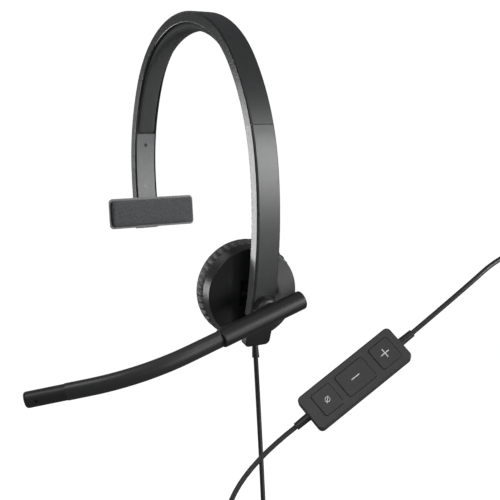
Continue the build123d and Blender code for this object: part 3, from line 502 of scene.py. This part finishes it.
pad_rings = [[on_band(turn, across, depth) for across, depth in pad_section(turn)]
             for turn in band_turns(PAD_END_MARGIN - PAD_TURN, PAD_TURN - PAD_END_MARGIN, 0.0009)]
head_pad = make_object("head_pad_cloth", *loft(pad_rings), CROWN_CLOTH, "headband", "pad_fabric",
                       ["head_pad"])


def on_pad_seat(point):
    """Whether the point is on the head pad's glued side, against the band."""
    turn = min((abs((on_band(t) - point).length), t) for t in range(-76, 77))[1]
    return (on_band(turn) - point).length < PAD_SEAT + 0.0007


puffed(head_pad, 0.0009, 2.0, 0.0003, on_pad_seat, 4)
finish_pad(head_pad)

# T-bar pad: cloth drawn over foam, a rounded slab that bulges from its tray
T_PAD_CORNER, T_PAD_EDGE, T_PAD_INSET, T_PAD_SWELL = 0.0022, 0.0018, 0.0002, 0.0005
t_pad_low, t_pad_high = (Vector(corner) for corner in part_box("t_bar_pad"))
t_pad_middle = (t_pad_low + t_pad_high) / 2
t_pad_half = (t_pad_high - t_pad_low) / 2


def t_pad_ring(inset, out):
    """Rounded outline of the T-bar pad, this far inside its sides and at this X."""
    corners = [(y * (t_pad_half.y - inset), z * (t_pad_half.z - inset), T_PAD_CORNER)
               for y, z in ((1, 1), (-1, 1), (-1, -1), (1, -1))]
    return [Vector((out, t_pad_middle.y + point.x, t_pad_middle.z + point.y))
            for point in rounded(corners, 8)]


t_pad_rings = [t_pad_ring(T_PAD_INSET, t_pad_low.x + 0.0001)]
for step in range(9):
    swing = pi / 2 * step / 8
    t_pad_rings.append(t_pad_ring(T_PAD_INSET + T_PAD_EDGE * (1 - cos(swing)),
                                  t_pad_high.x - T_PAD_SWELL - T_PAD_EDGE * (1 - sin(swing))))
t_bar_pad = make_object("t_bar_pad_cloth", *loft(t_pad_rings), PAD_CLOTH, "t_bar", "pad_fabric",
                        ["t_bar_pad"])
puffed(t_bar_pad, 0.0008, 3.0, T_PAD_SWELL, lambda point: point.x < t_pad_low.x + 0.001, 4)
finish_pad(t_bar_pad)

# Ear cushion: a ring whose skin is gathered into pleats round its side
CUP_FRAME = frame_at((0.0588169, 0.000213, -0.1697575), (-0.2051, -0.9767, 0.0635), (0.963, -0.213, -0.1651))
CUP_RIM_DEPTH, CUSHION_DEPTH, CUSHION_SWELL = 0.0074, 0.012, 0.0003
CUSHION_RADIUS, CUSHION_HOLE = 0.0316, 0.0176
PLEATS, PLEAT_STEPS = 43, 14
# Creases fade out over the gather's depth; the side narrows toward the rim, and tucks in at its lip
CREASE_DEPTH, GATHER_DEPTH = 0.0028, 0.0090
FLARE, FLARE_DEPTH, LIP, LIP_DEPTH = 0.0006, 0.006, 0.0009, 0.0013
SIDE_FROM, SIDE_BLEND = 0.027, 0.003


def evenly(outline, count):
    """This many points at even spacing along an open outline."""
    lengths = [(b - a).length for a, b in zip(outline, outline[1:])]
    points, index, passed = [], 0, 0.0
    for step in range(count):
        wanted = sum(lengths) * step / (count - 1)
        while index < len(lengths) - 1 and passed + lengths[index] < wanted:
            passed += lengths[index]
            index += 1
        points.append(outline[index].lerp(outline[index + 1], min(1.0, (wanted - passed) / lengths[index])))
    return points


# Section (reach, depth behind the rim) from the rim, down the side, over the face and into the hollow
cushion_section = evenly(rounded(
    [(CUSHION_RADIUS, 0.0, 0.0022), (CUSHION_RADIUS, CUSHION_DEPTH - CUSHION_SWELL, 0.0032),
     (CUSHION_HOLE, CUSHION_DEPTH - CUSHION_SWELL, 0.0045), (CUSHION_HOLE, 0.0, 0.0)], 12), 44)


def cushion_ring(step):
    """Cross-section of the cushion at one step round it, its side drawn in at the folds between pleats."""
    turn = 2 * pi * step / (PLEATS * PLEAT_STEPS)
    pleat, along = divmod(step, PLEAT_STEPS)
    uneven = 1 + 0.22 * sin(7.3 * pleat) + 0.12 * sin(3.1 * pleat + 1.0)
    fold = CREASE_DEPTH * uneven * (1 - sin(pi * along / PLEAT_STEPS) ** 0.55)
    points = []
    for reach, depth in cushion_section:
        outside = min(1.0, max(0.0, (reach - SIDE_FROM) / SIDE_BLEND))
        flare = FLARE * max(0.0, 1 - depth / FLARE_DEPTH) ** 1.5 + LIP * max(0.0, 1 - depth / LIP_DEPTH)
        reach -= outside * (flare + fold * max(0.0, 1 - depth / GATHER_DEPTH) ** 0.6)
        height = -CUP_RIM_DEPTH - 0.0001 - depth
        points.append(CUP_FRAME @ Vector((reach * cos(turn), reach * sin(turn), height)))
    return points


cushion_rings = [cushion_ring(step) for step in range(PLEATS * PLEAT_STEPS)]
ear_cushion = make_object("ear_cushion_skin", *loft(cushion_rings, loop=True), CUSHION_SKIN, "ear_cup",
                          "cushion_skin", ["ear_cushion"])
to_cup = CUP_FRAME.inverted()


def in_crease(point):
    """Whether the point is in a fold between two pleats, or under the shell's rim."""
    local = to_cup @ point
    position = PLEATS * atan2(local.y, local.x) / (2 * pi)
    off_crease = abs(position - round(position)) * 2 * pi * CUSHION_RADIUS / PLEATS
    depth = -local.z - CUP_RIM_DEPTH
    return depth < 0.001 or (depth < GATHER_DEPTH and off_crease < 0.0006 and local.xy.length > 0.0275)


puffed(ear_cushion, 0.0005, 2.0, CUSHION_SWELL, in_crease, 1)
finish_pad(ear_cushion)

# ---------------------------------------------------------------- marks on the keys

KEY_FRAME = frame_at((0.1208, 0.0276, -0.2184), (0.3003, 0.7793, 0.55), (0.7081, -0.5685, 0.4189))
KEY_TOP, MARK_RISE = 0.0004, 0.00006
MARK_SUNK = -0.00003
PLUS_X, MINUS_X, MUTE_X = 0.0232, 0.0007, -0.0206


def mark(name, outline, hole, centre_x, body):
    """A painted mark that stands a hair above the key: an outline, with a hole of as many points or none."""
    def at(point, height):
        return KEY_FRAME @ Vector((centre_x + point[0], point[1], KEY_TOP + height))
    rings = [[at(point, height) for point in outline] for height in (MARK_SUNK, MARK_RISE)]
    if not hole:
        return make_object(name, *loft(rings), MARK_PAINT, body, "usb_white")
    inner = [[at(point, height) for point in hole] for height in (MARK_RISE, MARK_SUNK)]
    return make_object(name, *loft([*rings, *inner], loop=True), MARK_PAINT, body, "usb_white")


def bar(length, width, turn=0.0):
    """Outline of a bar with slightly round corners, turned in its plane."""
    corners = [(x * length / 2, y * width / 2, 0.00012) for x, y in ((1, 1), (-1, 1), (-1, -1), (1, -1))]
    return [(x * cos(turn) - y * sin(turn), x * sin(turn) + y * cos(turn)) for x, y in rounded(corners, 4)]


def circle(radius):
    return [(radius * cos(2 * pi * step / 48), radius * sin(2 * pi * step / 48)) for step in range(48)]


MARK_SIZE, MARK_WIDTH = 0.0058, 0.00055
mark("plus_mark_long", bar(MARK_SIZE, MARK_WIDTH), (), PLUS_X, "plus_key")
mark("plus_mark_cross", bar(MARK_SIZE, MARK_WIDTH, pi / 2), (), PLUS_X, "plus_key")
mark("minus_mark", bar(MARK_SIZE, MARK_WIDTH), (), MINUS_X, "minus_key")
mark("mute_mark_ring", circle(0.0016), circle(0.0013), MUTE_X, "mute_key")
mark("mute_mark_slash", bar(0.0046, 0.00035, pi / 4), (), MUTE_X, "mute_key")

# ---------------------------------------------------------------- materials of the CAD nodes

NODE_MATERIALS = {
    "headband_outer_cover": SOFT_TOUCH, "arm_outer_cover": SOFT_TOUCH,
    # arm_frame gets the lighter copy of the side plastic: painted light on the arm's side face
    "headband_frame": SIDE_GREY, "arm_frame": ARM_PAINTED_LIT_GREY, "left_inner_plate": PLATE_GREY,
    "t_bar_tray": TRAY_GREY, "t_bar_bracket": BLACK_PLASTIC, "t_bar_pin": BRIGHT_STEEL,
    "headband_spring_strip": SPRING_STEEL, "slider_detent_spring": SPRING_STEEL,
    "left_plate_screws": SCREW_STEEL, "slider_screws": SCREW_STEEL, "cord_pod_screw": SCREW_STEEL,
    "controller_screws": SCREW_STEEL, "cup_screws": SCREW_STEEL,
    "slider_strip": BLACK_PLASTIC, "cord_pod": BLACK_PLASTIC, "pod_strain_relief": CORD_RUBBER,
    "hub_axle": BLACK_PLASTIC, "hub_friction_washer": WASHER_POLYMER,
    "boom_hub": BLACK_PLASTIC, "boom_barrel": BLACK_PLASTIC, "boom_tube": BOOM_RUBBER,
    "boom_core_wire": SPRING_STEEL, "mic_cap": BLACK_PLASTIC, "mic_capsule": SPRING_STEEL,
    "mic_screen": SCREW_STEEL,
    "cup_bracket": BLACK_PLASTIC, "cup_gimbal": BLACK_PLASTIC, "cup_shell": GLOSS_BLACK,
    "cup_baffle": BLACK_PLASTIC, "speaker_basket": BLACK_PLASTIC, "speaker_magnet": SPRING_STEEL,
    "speaker_diaphragm": DIAPHRAGM_FILM, "speaker_cloth": SPEAKER_CLOTH,
    "controller_top_shell": CONTROL_PLASTIC, "controller_bottom_shell": CONTROL_PLASTIC,
    "controller_board": CIRCUIT_BOARD, "audio_chip": BLACK_PLASTIC, "key_switches": BRIGHT_STEEL,
    "controller_relief_headset": CORD_RUBBER, "controller_relief_plug": CORD_RUBBER,
    "plus_key": KEY_RUBBER, "minus_key": KEY_RUBBER, "mute_key": KEY_RUBBER,
    "clip_arm": BLACK_PLASTIC, "clip_pin": BRIGHT_STEEL, "cord_tie": BLACK_PLASTIC,
    "plug_strain_relief": CORD_RUBBER, "plug_body": BLACK_PLASTIC, "plug_shell": BRIGHT_STEEL,
    "plug_tongue": USB_WHITE, "plug_contacts": CONTACT_GOLD,
}

for node, material in NODE_MATERIALS.items():
    for material_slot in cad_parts[node].material_slots:
        material_slot.material = material


# ---------------------------------------------------------------- stage and lights

STAGE_FLOOR, STAGE_RADIUS, STAGE_HEIGHT, STAGE_BEND = -0.55, 3.2, 3.4, 1.2
BACKDROP_GLOW, WORLD_STRENGTH = 0.95, 0.17
stage_profile = [(0.001, STAGE_FLOOR), (1.2, STAGE_FLOOR), (STAGE_RADIUS - STAGE_BEND, STAGE_FLOOR)]
for step in range(1, 13):
    swing = pi / 2 * step / 12
    stage_profile.append((STAGE_RADIUS - STAGE_BEND + STAGE_BEND * sin(swing),
                          STAGE_FLOOR + STAGE_BEND * (1 - cos(swing))))
stage_profile.append((STAGE_RADIUS, STAGE_HEIGHT))
stage_points, stage_faces = loft(revolve(stage_profile, 96), closed_ends=False)
stage_mesh = bpy.data.meshes.new("backdrop")
stage_mesh.from_pydata(stage_points, [], stage_faces)
for polygon in stage_mesh.polygons:
    polygon.use_smooth = True
backdrop = bpy.data.objects.new("backdrop", stage_mesh)
bpy.context.scene.collection.objects.link(backdrop)
BACKDROP_WHITE = new_material("backdrop_white", (0.30, 0.30, 0.30), 0.9)
shader_of(BACKDROP_WHITE).inputs["Emission Color"].default_value = (1, 1, 1, 1)
shader_of(BACKDROP_WHITE).inputs["Emission Strength"].default_value = BACKDROP_GLOW
stage_mesh.materials.append(BACKDROP_WHITE)
# The backdrop is bright to the camera only, so that the lights alone shape the object
backdrop.visible_glossy = False
backdrop.visible_diffuse = False

world = bpy.data.worlds.new("studio")
bpy.context.scene.world = world
world.use_nodes = True
world.node_tree.nodes["Background"].inputs["Color"].default_value = (0.9, 0.92, 0.95, 1)
world.node_tree.nodes["Background"].inputs["Strength"].default_value = WORLD_STRENGTH


def softbox(name, toward, distance, width, height, watts):
    """A soft light that stands this far from the point the camera looks at, in the given direction."""
    light = bpy.data.lights.new(name, "AREA")
    light.shape = "RECTANGLE"
    light.size, light.size_y = width, height
    light.energy = watts
    lamp = bpy.data.objects.new(name, light)
    direction = Vector(toward).normalized()
    lamp.location = LOOK_AT + direction * distance
    lamp.rotation_mode = "QUATERNION"
    lamp.rotation_quaternion = direction.to_track_quat("Z", "Y")
    lamp.visible_camera = False
    bpy.context.scene.collection.objects.link(lamp)
    return lamp


# The arm's softbox is strong, and the band's narrow side would mirror it as a white streak from behind,
# so it lights every piece except headband_frame
arm_lamp = softbox("arm_softbox", (0.80, 0.57, 0.15), 1.5, 0.55, 0.6, 19)
spared = bpy.data.collections.new("spared_by_arm_softbox")
spared.objects.link(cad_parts["headband_frame"])
arm_lamp.light_linking.receiver_collection = spared
spared.collection_objects[0].light_linking.link_state = "EXCLUDE"
softbox("side_softbox", (-0.80, -0.60, -0.01), 1.5, 0.34, 0.50, 5.4)
softbox("rim_softbox", (-0.96, -0.06, 0.30), 1.5, 0.5, 1.6, 4.0)
softbox("disc_softbox", (0.84, 0.33, -0.41), 1.5, 0.35, 0.6, 3.0)
softbox("top_softbox", (0.25, -0.10, 1.0), 1.5, 1.0, 1.0, 1.2)
softbox("front_softbox", (0.75, -0.95, 0.60), 1.7, 0.8, 0.8, 9.0)
